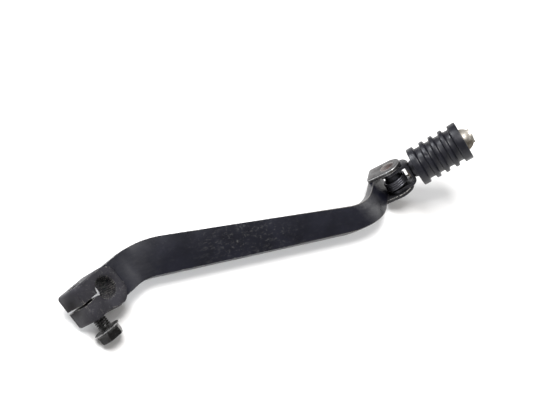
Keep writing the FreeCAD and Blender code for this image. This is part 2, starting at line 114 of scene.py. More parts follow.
def along_and_across(node, centre, axis):
    """Height along the axis and distance from it, for each of the node's vertices."""
    offsets = node_points(node) - np.array(centre)
    heights = offsets @ np.array(axis)
    radii = np.linalg.norm(offsets - np.outer(heights, axis), axis=1)
    return heights, radii


def distinct(values, gap):
    """The values in order, leaving out any that is within the gap of the one before."""
    kept = []
    for value in sorted(values):
        if not kept or value - kept[-1] > gap:
            kept.append(value)
    return kept


def axis_frame(centre, axis):
    """Matrix whose Z is the axis."""
    turn = axis.to_track_quat("Z", "Y").to_matrix().to_4x4()
    return Matrix.Translation(centre) @ turn


# ---- making pieces ----

def finish_piece(name, mesh, node, sharp_angle=35):
    """Names a mesh, hides the CAD node it stands for and fixes it to the same body."""
    mesh.polygons.foreach_set("use_smooth", [True] * len(mesh.polygons))
    mesh.set_sharp_from_angle(angle=math.radians(sharp_angle))
    piece = bpy.data.objects.new(name, mesh)
    bpy.context.scene.collection.objects.link(piece)
    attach(piece, body_of(node))
    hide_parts(node)
    return piece


def softened(node, width, sharp_angle):
    """The node's own shape with its sharp edges rounded off. The new faces carry the mark rim."""
    mesh = bpy.data.meshes.new(node + "_detail")
    form = bmesh.new()
    form.from_mesh(frame["nodes"][node].data)
    rim = form.faces.layers.float.new("rim")
    bmesh.ops.remove_doubles(form, verts=form.verts, dist=SAME_PLACE)
    bmesh.ops.dissolve_limit(form, angle_limit=SAME_PLANE, verts=form.verts, edges=form.edges)
    limit = math.radians(sharp_angle)
    sharp = [e for e in form.edges if e.is_manifold and e.calc_face_angle(0) > limit]
    made = bmesh.ops.bevel(form, geom=sharp, offset=width, offset_type="OFFSET", segments=2,
                           profile=0.5, affect="EDGES", clamp_overlap=True)
    for face in made["faces"]:
        face[rim] = 1
    bmesh.ops.triangulate(form, faces=[f for f in form.faces if len(f.verts) > 4])
    bmesh.ops.recalc_face_normals(form, faces=form.faces)
    form.to_mesh(mesh)
    form.free()
    return finish_piece(node + "_detail", mesh, node)


def soften_profile(corners, reach, steps=5):
    """Rounds the corners of an open (radius, height) line: each corner gives way over that reach,
    or over less where a side is short."""
    most = 0.45
    line = [Vector(corners[0])]
    for before, corner, after in zip(corners, corners[1:], corners[2:]):
        before, corner, after = Vector(before), Vector(corner), Vector(after)
        back = min(reach, (before - corner).length * most)
        ahead = min(reach, (after - corner).length * most)
        start = corner + (before - corner).normalized() * back
        end = corner + (after - corner).normalized() * ahead
        for step in range(steps + 1):
            t = step / steps
            line.append(start * (1 - t) ** 2 + corner * 2 * t * (1 - t) + end * t * t)
    line.append(Vector(corners[-1]))
    return line


def cap_profile(edge, base, top, steps):
    """(radius, height) points of a spherical cap, from its edge at the base to its pole."""
    rise = top - base
    sphere = (edge ** 2 + rise ** 2) / (2 * rise)
    spread = math.asin(min(1, edge / sphere))
    angles = [spread * (1 - step / steps) for step in range(steps)]
    points = [(sphere * math.sin(angle), top - sphere * (1 - math.cos(angle))) for angle in angles]
    return points + [(0, top)]


def ring_of(form, radii, height):
    """Evenly spaced vertices about Z at one height, one for each radius."""
    angles = [2 * math.pi * i / len(radii) for i in range(len(radii))]
    return [form.verts.new((radius * math.cos(angle), radius * math.sin(angle), height))
            for radius, angle in zip(radii, angles)]


def lathe_form(profile, turns, closed):
    """Faces of revolution about Z from (radius, height) points. A point on the axis is a pole."""
    on_axis = 1e-7
    form = bmesh.new()
    rings = []
    for radius, height in profile:
        if radius < on_axis:
            rings.append([form.verts.new((0, 0, height))])
        else:
            rings.append(ring_of(form, [radius] * turns, height))
    pairs = list(zip(rings, rings[1:]))
    if closed:
        pairs.append((rings[-1], rings[0]))
    for low, high in pairs:
        for i in range(turns):
            j = (i + 1) % turns
            # a pole's ring has one vertex, so its faces have three corners
            corners = (low[i % len(low)], low[j % len(low)],
                       high[j % len(high)], high[i % len(high)])
            unique = list(dict.fromkeys(corners))
            if len(unique) > 2:
                form.faces.new(unique)
    bmesh.ops.recalc_face_normals(form, faces=form.faces)
    return form


def uneven(form, size, depth, seed):
    """Moves each vertex a little along its normal, by smooth noise of that size."""
    form.normal_update()
    shift = Vector((seed, 0, 0))
    moves = [v.normal * depth * noise.noise(v.co / size + shift) for v in form.verts]
    for vert, move in zip(form.verts, moves):
        vert.co += move


def mesh_of(form, name, place):
    """Turns a form into a named mesh, moved to its place in the frame."""
    form.transform(place)
    mesh = bpy.data.meshes.new(name)
    form.to_mesh(mesh)
    form.free()
    return mesh


# ---- toe peg: rubber sleeve and stud ----

PEG_CENTRE, PEG_AXIS = lathe_axis("peg_stud", Vector((0, 0, 1)))
PEG_FRAME = axis_frame(PEG_CENTRE, PEG_AXIS)
RING_GAP = 0.2 * MM
GROOVE_SLOPE = 0.35 * MM
RING_ROUNDING = 0.6 * MM
# taken off the radius, so that the uneven rings stay inside the CAD's box
RUBBER_SHRINK = 0.08 * MM
# a nick and a moulding line, at angles about the peg from the camera's side
NICK_TURN = math.radians(-14)
NICK_REACH = 1.5 * MM
NICK_DEPTH = 0.8 * MM
LINE_TURN = math.radians(75)
LINE_HALF_WIDTH = math.radians(1.8)
LINE_HEIGHT = 0.14 * MM


def peg_rubber():
    """Ribbed sleeve: rings with rounded shoulders, a nick in the second ring, a moulding line."""
    heights, radii = along_and_across("peg_rubber", PEG_CENTRE, PEG_AXIS)
    outer, inner = radii.max(), radii.min()
    on_rings = radii > outer * 0.995
    edges = distinct(heights[on_rings], RING_GAP)
    groove = min(radius for radius in radii if radius > inner * 1.5)
    corners = [(inner, edges[0])]
    for i in range(0, len(edges), 2):
        if i:
            corners.append((groove, edges[i] - GROOVE_SLOPE))
        corners.append((outer, edges[i]))
        corners.append((outer, edges[i + 1]))
        if i + 2 < len(edges):
            corners.append((groove, edges[i + 1] + GROOVE_SLOPE))
    corners.append((inner, edges[-1]))
    form = lathe_form(soften_profile(corners, RING_ROUNDING), turns=144, closed=True)
    uneven(form, size=6 * MM, depth=0.10 * MM, seed=3)
    uneven(form, size=1.6 * MM, depth=0.05 * MM, seed=8)
    shrink = 1 - RUBBER_SHRINK / outer
    for vert in form.verts:
        vert.co.xy *= shrink
    view = (PEG_FRAME.inverted().to_3x3() @ (CAMERA_PLACE - PEG_CENTRE)).xy.normalized()
    nick = Vector((0, 0, (edges[2] + edges[3]) / 2))
    nick.xy = Matrix.Rotation(NICK_TURN, 2) @ view * outer
    line = Matrix.Rotation(LINE_TURN, 2) @ view
    for vert in form.verts:
        radial = vert.co.xy.length
        if radial < groove * 0.95:
            continue
        outward = vert.co.xy / radial
        away = (vert.co - nick).length
        if away < NICK_REACH:
            vert.co.xy -= outward * NICK_DEPTH * (1 - away / NICK_REACH) ** 2
        if abs(outward.dot(line)) > math.cos(LINE_HALF_WIDTH) and radial < outer * 0.985:
            vert.co.xy += outward * LINE_HEIGHT
    mesh = mesh_of(form, "peg_rubber_sleeve", PEG_FRAME)
    return finish_piece("peg_rubber_sleeve", mesh, "peg_rubber", sharp_angle=50)


def peg_stud():
    """Stud with a domed head, slightly battered at the crown."""
    heights, radii = along_and_across("peg_stud", PEG_CENTRE, PEG_AXIS)
    rubber_heights, _ = along_and_across("peg_rubber", PEG_CENTRE, PEG_AXIS)
    base, top, head = rubber_heights.max(), heights.max(), radii.max()
    low = heights.min()
    tail = radii[heights < low + 0.05 * MM].max()
    narrow = (radii < tail * 0.9) & (radii > 0.5 * tail)
    web = heights[(heights > low + 0.5 * MM) & narrow]
    tenon_low, tenon_high = web.min(), web.max()
    tenon = radii[(heights > tenon_low - 0.01 * MM) & narrow].max()
    profile = [(0, low), (tail, low), (tail, tenon_low), (tenon, tenon_low),
               (tenon, tenon_high), (tail, tenon_high), (tail, base), (head * 0.985, base)]
    # the dome is a little narrower than in the CAD, which leaves room for its dents
    dome = cap_profile(head, base, top, steps=26)
    profile.append((dome[0][0] * 0.999, dome[0][1]))
    profile += [(radius * 0.992, height) for radius, height in dome[1:]]
    form = lathe_form(profile, turns=96, closed=False)
    form.normal_update()
    for vert in [v for v in form.verts if v.co.z > base + 0.3 * MM]:
        coarse = noise.noise(vert.co / (2.4 * MM)) * 0.04
        fine = noise.noise(vert.co / (0.9 * MM)) * 0.015
        vert.co += vert.normal * (coarse + fine - 0.05) * MM
    mesh = mesh_of(form, "peg_stud_detail", PEG_FRAME)
    return finish_piece("peg_stud_detail", mesh, "peg_stud", sharp_angle=45)


# ---- pivot rivet ----

def pivot_rivet():
    """Rivet with a rounded head at one end and a hammered tail at the other."""
    pivot = joint("peg_fold")
    centre = Vector(pivot["pos_m"])
    axis = -Vector(pivot["axis"]).normalized()
    heights, radii = along_and_across("pivot_rivet", centre, axis)
    top, low, head = heights.max(), heights.min(), radii.max()
    shank_heights = heights[radii < head * 0.8]
    plate = heights[radii > head * 0.99].max()
    shank = radii[(abs(heights - plate) < 0.02 * MM)].min()
    tail = radii[heights < 0].max()
    tail_base = heights[(heights < 0) & (radii > tail * 0.98)].max()
    corners = [(0, low), (tail * 0.8, low), (tail, low + 0.5 * MM), (tail, tail_base),
               (shank, tail_base), (shank, plate), (head * 0.99, plate)]
    profile = soften_profile(corners, 0.2 * MM, steps=3)
    cap = cap_profile(head, plate, top, steps=16)
    profile += [(radius * 0.99, height) for radius, height in cap[1:]]
    form = lathe_form(profile, turns=72, closed=False)
    for vert in form.verts:
        if vert.co.z > plate + 0.25 * MM or vert.co.z < low + 0.2 * MM:
            dent = (0.06 + 0.06 * noise.noise(vert.co / (1.3 * MM))) * MM
            vert.co.z -= math.copysign(dent, vert.co.z)
    mesh = mesh_of(form, "pivot_rivet_detail", axis_frame(centre, axis))
    return finish_piece("pivot_rivet_detail", mesh, "pivot_rivet", sharp_angle=45)


# ---- pinch bolt ----

THREAD_PITCH = 1.0 * MM
THREAD_DEPTH = 0.55 * MM
ROWS_PER_PITCH = 10
# shank without a thread below the flange, and how the tip narrows over its last stretch
PLAIN_SHANK = 1.2 * MM
TIP_TAPER = 0.9 * MM
TIP_SLOPE = 0.9


def pinch_bolt():
    """M6 flange bolt: rolled thread, a thin flange and a hexagon head with a chamfered face."""
    axis = Vector(joint("bolt_travel")["axis"]).normalized()
    points = node_points("pinch_bolt")
    heights = points @ np.array(axis)
    tip = points[heights > heights.max() - 0.01 * MM]
    centre = Vector(tip.mean(0))
    centre -= axis * (centre.dot(axis) - heights.min())
    heights, radii = along_and_across("pinch_bolt", centre, axis)
    length = heights.max()
    flange = radii.max()
    flange_heights = heights[radii > flange * 0.99]
    seat, rim = flange_heights.max(), flange_heights.min()
    shank = radii[heights > seat + 2 * MM].max()
    plain = seat + PLAIN_SHANK
    rows = int((length - plain) / (THREAD_PITCH / ROWS_PER_PITCH))
    profile = [(shank, seat - 0.3 * MM), (shank, plain)]
    profile += [(shank, plain + (length - plain) * (row + 1) / rows) for row in range(rows)]
    profile.append((0, length))
    form = lathe_form(profile, turns=64, closed=False)
    for vert in form.verts:
        radial = vert.co.xy.length
        height = vert.co.z
        if radial < shank * 0.5 or height <= plain:
            continue
        turn = math.atan2(vert.co.y, vert.co.x) / (2 * math.pi)
        phase = (height / THREAD_PITCH - turn) % 1
        groove = min(1, max(0, 1.35 * abs(2 * phase - 1) - 0.1))
        fade = min(1, (height - plain) / THREAD_PITCH)
        depth = THREAD_DEPTH * groove * fade
        taper = max(0, height - (length - TIP_TAPER)) * TIP_SLOPE
        vert.co.xy *= (shank - max(depth, taper)) / radial
    head_mesh(form, points, centre, axis, seat, rim, flange)
    mesh = mesh_of(form, "pinch_bolt_detail", axis_frame(centre, axis))
    return finish_piece("pinch_bolt_detail", mesh, "pinch_bolt", sharp_angle=40)


def head_mesh(form, points, centre, axis, seat, rim, flange):
    """Adds the flange and the hexagon head to the bolt's form, as rings one after another."""
    place = np.array(axis_frame(centre, axis).inverted())
    local = points @ place[:3, :3].T + place[:3, 3]
    reach = np.hypot(local[:, 0], local[:, 1])
    in_hexagon = (local[:, 2] > 0.2 * MM) & (local[:, 2] < 1.0 * MM)
    corner_reach = reach[in_hexagon].max()
    at_corner = local[in_hexagon & (reach > corner_reach * 0.998)][0]
    corner_angle = math.atan2(at_corner[1], at_corner[0])
    flats = corner_reach * math.cos(math.pi / 6)
    steps = 96
    rim_mark = form.faces.layers.float.new("rim")

    def outline(angle, roundness):
        """Distance to a hexagon's side, with its corner cut a little, blended towards a circle."""
        folded = (angle - corner_angle + math.pi / 6) % (math.pi / 3) - math.pi / 6
        side = flats / math.cos(math.pi / 6 - abs(folded))
        side = min(side, corner_reach * 0.985)
        return side * (1 - roundness) + flats * roundness

    # hexagon, from the middle of its face: share of the radius, how round the outline is, height
    rows = [(0.35, 1.0, 0.12 * MM), (0.86, 1.0, 0.02 * MM), (0.93, 1.0, 0.04 * MM),
            (1.0, 0.6, 0.20 * MM), (1.0, 0.25, 0.50 * MM), (1.0, 0.0, 1.1 * MM),
            (1.0, 0.0, rim - 1.15 * MM), (1.03, 0.0, rim - 0.95 * MM)]
    angles = [2 * math.pi * i / steps for i in range(steps)]
    rings = [ring_of(form, [outline(angle, roundness) * scale for angle in angles], height)
             for scale, roundness, height in rows]
    # flange, out to its rim and back in to the shank: radius, height
    shank = min(reach[local[:, 2] > seat + 2 * MM].max(), flats)
    rounds = [(flats * 1.13, rim - 0.50 * MM), (flange * 0.975, rim - 0.02 * MM),
              (flange, rim + 0.12 * MM), (flange, seat - 0.12 * MM), (flange * 0.98, seat),
              (shank * 0.97, seat)]
    rings += [ring_of(form, [radius] * steps, height) for radius, height in rounds]
    centre_vert = form.verts.new((0, 0, 0.12 * MM))
    # the bands worn bright: the edge of the hexagon's face and the rim of the flange
    worn_bands = (2, 9, 10, 11)
    for i in range(steps):
        j = (i + 1) % steps
        form.faces.new((centre_vert, rings[0][j], rings[0][i]))
        for band, (low, high) in enumerate(zip(rings, rings[1:])):
            face = form.faces.new((low[i], low[j], high[j], high[i]))
            face[rim_mark] = 1 if band in worn_bands else 0


# ---- weld bead ----

BEAD_ROWS = 90
BEAD_ARC = 14
RIPPLE_LENGTH = 1.15 * MM


def weld_bead():
    """Fillet bead laid in overlapping ripples along the back of the hub."""
    points = node_points("hub_weld_bead")
    centre = Vector(points.mean(0))
    lever_up = Vector(RECORD["mounts"][0]["axis"]).normalized()
    spread = (points - np.array(centre)) @ np.array(lever_up)
    across = Vector(joint("bolt_travel")["axis"]).normalized()
    outward = across.cross(lever_up)
    sideways = (points - np.array(centre)) @ np.array(across)
    forward = (points - np.array(centre)) @ np.array(outward)
    corner = centre + lever_up * spread.max() + outward * forward.min()
    length = sideways.max() - sideways.min()
    leg = spread.max() - spread.min()
    form = bmesh.new()
    rings = []
    for row in range(BEAD_ROWS + 1):
        t = row / BEAD_ROWS
        place = corner + across * (sideways.min() + length * t)
        ripple = abs(math.sin(math.pi * t * length / RIPPLE_LENGTH))
        wander = noise.noise(Vector((t * 9, 0.4, 0)))
        # the bead starts and ends small
        end = min(1, math.sin(math.pi * min(max(t, 0.02), 0.98)) * 2.6)
        size = leg * (0.86 + 0.09 * ripple + 0.04 * wander) * (0.55 + 0.45 * end)
        ring = [form.verts.new(place)]
        for k in range(BEAD_ARC + 1):
            angle = math.pi / 2 * k / BEAD_ARC
            bulge = size * (0.88 + 0.10 * math.sin(2 * angle))
            ring.append(form.verts.new(place + outward * bulge * math.cos(angle)
                                       - lever_up * bulge * math.sin(angle)))
        rings.append(ring)
    for low_ring, high_ring in zip(rings, rings[1:]):
        for k in range(len(low_ring)):
            m = (k + 1) % len(low_ring)
            form.faces.new((low_ring[k], low_ring[m], high_ring[m], high_ring[k]))
    form.faces.new(rings[0])
    form.faces.new(rings[-1])
    bmesh.ops.recalc_face_normals(form, faces=form.faces)
    mesh = mesh_of(form, "hub_weld_detail", Matrix.Identity(4))
    return finish_piece("hub_weld_detail", mesh, "hub_weld_bead", sharp_angle=55)


# ---- materials ----

DUST = (0.26, 0.26, 0.25)
BARE = (0.30, 0.29, 0.27)
# paler paint of rubbed places, also used as a painted highlight on the arm
RUBBED_AND_HIGHLIGHT = (0.12, 0.12, 0.125)
# darker paint; on the arm's end by the spring it is painted shade
DARKENED_PAINT = (0.008, 0.0065, 0.0065)

# the Mix node's sockets for colours, which share their labels with its other sockets
MIX_A, MIX_B, MIX_RESULT = 6, 7, 2


class Finish:
    """A node material put together one step at a time."""

    def __init__(self, name):
        self.material = bpy.data.materials.new(name)
        self.material.use_nodes = True
        self.tree = self.material.node_tree
        self.shader = self.tree.nodes["Principled BSDF"]
        self.place = self.tree.nodes.new("ShaderNodeTexCoord").outputs["Object"]

    def link(self, source, target):
        """Feeds a socket from another one, or sets it to a number or a colour."""
        if isinstance(source, (int, float, tuple)):
            target.default_value = source
        else:
            self.tree.links.new(source, target)

    def noise(self, size, detail=4, grain=0.5, distortion=0.0, stretch=(1, 1, 1), turn=0.0,
              shift=0.0):
        """Noise with features of that size in metres, stretched along the turned axes."""
        mapping = self.tree.nodes.new("ShaderNodeMapping")
        mapping.inputs["Rotation"].default_value = (0, 0, turn)
        mapping.inputs["Location"].default_value = (shift, shift, shift)
        mapping.inputs["Scale"].default_value = tuple(1 / (size * s) for s in stretch)
        self.link(self.place, mapping.inputs["Vector"])
        texture = self.tree.nodes.new("ShaderNodeTexNoise")
        texture.inputs["Scale"].default_value = 1
        texture.inputs["Detail"].default_value = detail
        texture.inputs["Roughness"].default_value = grain
        texture.inputs["Distortion"].default_value = distortion
        self.link(mapping.outputs["Vector"], texture.inputs["Vector"])
        return texture.outputs["Fac"]

    def between(self, value, low, high, out_low=0.0, out_high=1.0):
        """Value mapped from low..high to out_low..out_high and held there."""
        node = self.tree.nodes.new("ShaderNodeMapRange")
        self.link(value, node.inputs["Value"])
        node.inputs["From Min"].default_value = low
        node.inputs["From Max"].default_value = high
        node.inputs["To Min"].default_value = out_low
        node.inputs["To Max"].default_value = out_high
        return node.outputs["Result"]

    def math(self, operation, a, b):
        node = self.tree.nodes.new("ShaderNodeMath")
        node.operation = operation
        self.link(a, node.inputs[0])
        self.link(b, node.inputs[1])
        return node.outputs[0]

    def plus(self, a, b):
        return self.math("ADD", a, b)

    def minus(self, a, b):
        return self.math("SUBTRACT", a, b)

    def times(self, a, b):
        return self.math("MULTIPLY", a, b)

    def larger(self, a, b):
        return self.math("MAXIMUM", a, b)

    def blend(self, share, a, b):
        """Colour a where share is 0 and b where it is 1."""
        node = self.tree.nodes.new("ShaderNodeMix")
        node.data_type = "RGBA"
        self.link(share, node.inputs["Factor"])
        self.link((*a, 1) if isinstance(a, tuple) else a, node.inputs[MIX_A])
        self.link((*b, 1) if isinstance(b, tuple) else b, node.inputs[MIX_B])
        return node.outputs[MIX_RESULT]

    def edges(self, radius, low=0.008, high=0.09):
        """1 on convex and concave edges and on faces with the mark rim, 0 on open faces."""
        rounded = self.tree.nodes.new("ShaderNodeBevel")
        rounded.samples = 6
        rounded.inputs["Radius"].default_value = radius
        flat = self.tree.nodes.new("ShaderNodeNewGeometry")
        dot = self.tree.nodes.new("ShaderNodeVectorMath")
        dot.operation = "DOT_PRODUCT"
        self.link(rounded.outputs["Normal"], dot.inputs[0])
        self.link(flat.outputs["Normal"], dot.inputs[1])
        soft = self.between(dot.outputs["Value"], 1 - low, 1 - high)
        marked = self.tree.nodes.new("ShaderNodeAttribute")
        marked.attribute_name = "rim"
        return self.larger(soft, marked.outputs["Fac"])

    def near(self, centre, radius):
        """1 at a place on the part, fading to 0 about the radius away, with an uneven border."""
        away = self.tree.nodes.new("ShaderNodeVectorMath")
        away.operation = "DISTANCE"
        self.link(self.place, away.inputs[0])
        away.inputs[1].default_value = centre
        border = self.times(self.noise(radius / 2, 4, 0.6, 0.5, shift=7.7), radius)
        reach = self.plus(away.outputs["Value"], border)
        return self.between(reach, radius * 0.7, radius * 1.6, 1, 0)

    def bump(self, height, strength, distance):
        """Small relief from a height, as deep as the distance where the strength is 1."""
        node = self.tree.nodes.new("ShaderNodeBump")
        node.inputs["Strength"].default_value = strength
        node.inputs["Distance"].default_value = distance
        self.link(height, node.inputs["Height"])
        self.link(node.outputs["Normal"], self.shader.inputs["Normal"])

    def upward(self, low, high):
        """0 on faces that look down or sideways, 1 on faces that look up, where dust settles."""
        flat = self.tree.nodes.new("ShaderNodeNewGeometry")
        split = self.tree.nodes.new("ShaderNodeSeparateXYZ")
        self.link(flat.outputs["Normal"], split.inputs[0])
        return self.between(split.outputs["Z"], low, high)

    def set(self, **values):
        """Feeds the shader's sockets, named in small letters, and gives the material."""
        for label, value in values.items():
            name = label.replace("_", " ").title().replace("Ior", "IOR")
            if isinstance(value, tuple):
                value = (*value, 1)
            self.link(value, self.shader.inputs[name])
        return self.material


def scratches(finish, turn, width, length, amount, shift):
    """Fine streaks that run one way: 1 in a scratch. The length is in widths."""
    streak = finish.noise(width, 3, 0.6, 0.4, (length, 1, 1), turn, shift)
    patch = finish.noise(14 * MM, 2, 0.5, 0, shift=shift)
    lines = finish.between(streak, 0.66 - amount, 0.74 - amount)
    return finish.times(lines, finish.between(patch, 0.42, 0.62))


def worn_paint(name, paint, dust_amount, edge_radius, chip_amount, roughness, gloss=0.25,
               rubbed_and_highlit=(), dusty_at=None, darkened_at=None, bared_at=None):
    """Black paint over steel: cloudy sheen, dust, fine scratches, chips along the edges.
    Places in rubbed_and_highlit are (centre, radius, share) and show a paler, streaked colour:
    rubbed wear at some, a painted highlight at others. Dust lies mostly at dusty_at, a (centre,
    radius), or in loose patches if that isn't given. The paint is darker and duller at darkened_at,
    a (centre, radius, share), which on the lever arm's end by the spring is painted shade, and gone
    from the edges at bared_at, a (centre, radius)."""
    finish = Finish(name)
    cloud = finish.noise(11 * MM, 5, 0.55, 0.3)
    speckle = finish.noise(0.8 * MM, 4, 0.6, 0, shift=0.3)
    flecks = finish.noise(1.5 * MM, 6, 0.75, 0.6, (1.6, 1, 1), 0.2, 1.7)
    if dusty_at:
        zones = finish.between(finish.near(*dusty_at), 0, 1, 0.12, 1)
    else:
        zones = finish.between(finish.noise(26 * MM, 3, 0.5, 0.2, shift=6.3), 0.44, 0.60)
    pale_paint = tuple(c * 1.8 for c in paint)
    colour = finish.blend(finish.between(cloud, 0.35, 0.7), paint, pale_paint)
    # a paler, streaked colour at each place: rubbed wear at some, a painted highlight at others
    for centre, radius, share in rubbed_and_highlit:
        streaky = finish.noise(0.9 * MM, 5, 0.7, 0.8, (7, 1, 1), 0.5, 5.5)
        streaky = finish.between(streaky, 0.30, 0.62, 0.45, 1)
        patch = finish.times(finish.near(centre, radius), streaky)
        colour = finish.blend(finish.times(patch, share), colour, RUBBED_AND_HIGHLIGHT)
    dusty = finish.between(flecks, 0.60 - dust_amount, 0.74)
    dusty = finish.times(finish.times(dusty, finish.upward(-0.2, 0.7)), zones)
    colour = finish.blend(finish.times(dusty, 0.40), colour, DUST)
    lines = finish.larger(
        scratches(finish, turn=0.12, width=0.35 * MM, length=26, amount=0.04, shift=0.9),
        scratches(finish, turn=-0.5, width=0.30 * MM, length=16, amount=0.02, shift=2.3))
    lines = finish.times(lines, zones)
    colour = finish.blend(finish.times(lines, 0.28), colour, DUST)
    chips = finish.noise(1.3 * MM, 5, 0.7, 0.5, shift=4.1)
    chips = finish.between(chips, 0.60 - chip_amount, 0.68 - chip_amount)
    if bared_at:
        chips = finish.larger(chips, finish.near(*bared_at))
    bare = finish.times(finish.edges(edge_radius), chips)
    shine = gloss
    # darker, duller paint at one place; on the arm's end by the spring this is painted shade
    if darkened_at:
        centre, radius, share = darkened_at
        darkening = finish.times(finish.near(centre, radius), share)
        colour = finish.blend(darkening, colour, DARKENED_PAINT)
        shine = finish.between(darkening, 0, 1, gloss, gloss * 0.2)
    colour = finish.blend(bare, colour, BARE)
    sheen = finish.between(cloud, 0.3, 0.7, roughness - 0.06, roughness + 0.08)
    sheen = finish.plus(sheen, finish.times(dusty, 0.25))
    relief = finish.plus(finish.times(speckle, 0.35), finish.times(cloud, 0.8))
    relief = finish.minus(relief, finish.times(bare, 0.35))
    relief = finish.minus(relief, finish.times(lines, 0.20))
    finish.bump(relief, strength=0.25, distance=0.10 * MM)
    return finish.set(base_color=colour, roughness=sheen, metallic=finish.times(bare, 0.3),
                      specular_ior_level=shine)


def worn_steel(name, steel, stain, dark, stain_amount, roughness, edge_radius=0.5 * MM, dirt=0.5,
               polish=0.12):
    """Bare or plated steel: stains, grime in patches, polished edges and fine scratches."""
    finish = Finish(name)
    cloud = finish.noise(3.2 * MM, 6, 0.65, 0.6, shift=0.6)
    fine = finish.noise(0.5 * MM, 5, 0.7, 0, shift=2.1)
    patches = finish.noise(2.0 * MM, 5, 0.7, 0.8, shift=5.2)
    colour = finish.blend(finish.between(cloud, 0.52 - stain_amount, 0.70), steel, stain)
    darkening = finish.times(finish.between(patches, 0.62 - dirt * 0.3, 0.75), 0.8)
    colour = finish.blend(darkening, colour, dark)
    lines = scratches(finish, turn=0.8, width=0.22 * MM, length=18, amount=0.05, shift=3.3)
    rim = finish.times(finish.edges(edge_radius), finish.between(fine, 0.35, 0.6))
    bright = finish.larger(finish.times(rim, 0.8), finish.times(lines, 0.35))
    colour = finish.blend(bright, colour, tuple(min(1, c * 1.5 + polish) for c in steel))
    sheen = finish.between(cloud, 0.3, 0.75, roughness - 0.08, roughness + 0.14)
    sheen = finish.plus(sheen, finish.times(darkening, 0.2))
    relief = finish.plus(finish.times(fine, 0.5), finish.times(patches, 0.7))
    finish.bump(relief, strength=0.30, distance=0.10 * MM)
    return finish.set(base_color=colour, roughness=sheen, metallic=0.9)


def old_rubber(name):
    """Matt black rubber: a pale bloom, and scuffs that are strongest on the rings' edges."""
    black, bloomed = (0.0040, 0.0042, 0.0085), (0.009, 0.0093, 0.015)
    scuffed = (0.055, 0.055, 0.062)
    finish = Finish(name)
    bloom = finish.noise(5 * MM, 5, 0.6, 0.4, shift=1.2)
    grain = finish.noise(0.35 * MM, 4, 0.7, 0, shift=0.2)
    scuff = finish.noise(1.4 * MM, 6, 0.75, 1.0, (1, 2.5, 1), 0.4, 2.7)
    colour = finish.blend(finish.between(bloom, 0.4, 0.72), black, bloomed)
    on_edges = finish.between(finish.edges(0.8 * MM, 0.03, 0.35), 0, 1, 0.25, 1)
    worn = finish.times(finish.between(scuff, 0.50, 0.68), on_edges)
    colour = finish.blend(finish.times(worn, 0.6), colour, scuffed)
    sheen = finish.between(bloom, 0.3, 0.7, 0.30, 0.42)
    sheen = finish.plus(sheen, finish.times(worn, 0.18))
    relief = finish.plus(grain, finish.times(scuff, 1.2))
    finish.bump(relief, strength=0.16, distance=0.12 * MM)
    return finish.set(base_color=colour, roughness=sheen, specular_ior_level=0.42)


def stained_dome(name, painted_highlight_at):
    """The stud's worn head: stained gray and brown, with a pale painted highlight on one side."""
    gray, brown, dark_brown = (0.21, 0.20, 0.18), (0.13, 0.10, 0.07), (0.10, 0.08, 0.05)
    painted_highlight_colour, glare = (0.82, 0.78, 0.71), (0.45, 0.43, 0.41)
    finish = Finish(name)
    cloud = finish.noise(2.2 * MM, 6, 0.7, 0.8, shift=0.7)
    spots = finish.noise(0.9 * MM, 5, 0.75, 0.5, shift=3.1)
    colour = finish.blend(finish.between(cloud, 0.38, 0.66), gray, brown)
    spotted = finish.times(finish.between(spots, 0.56, 0.70), 0.75)
    colour = finish.blend(spotted, colour, dark_brown)
    # painted highlight: the dome is made pale on its side towards the lamps
    colour = finish.blend(finish.near(painted_highlight_at, 6.0 * MM), colour, painted_highlight_colour)
    sheen = finish.between(cloud, 0.3, 0.7, 0.34, 0.60)
    finish.bump(finish.plus(spots, cloud), strength=0.35, distance=0.12 * MM)
    return finish.set(base_color=colour, roughness=sheen, metallic=1.0, specular_tint=glare)


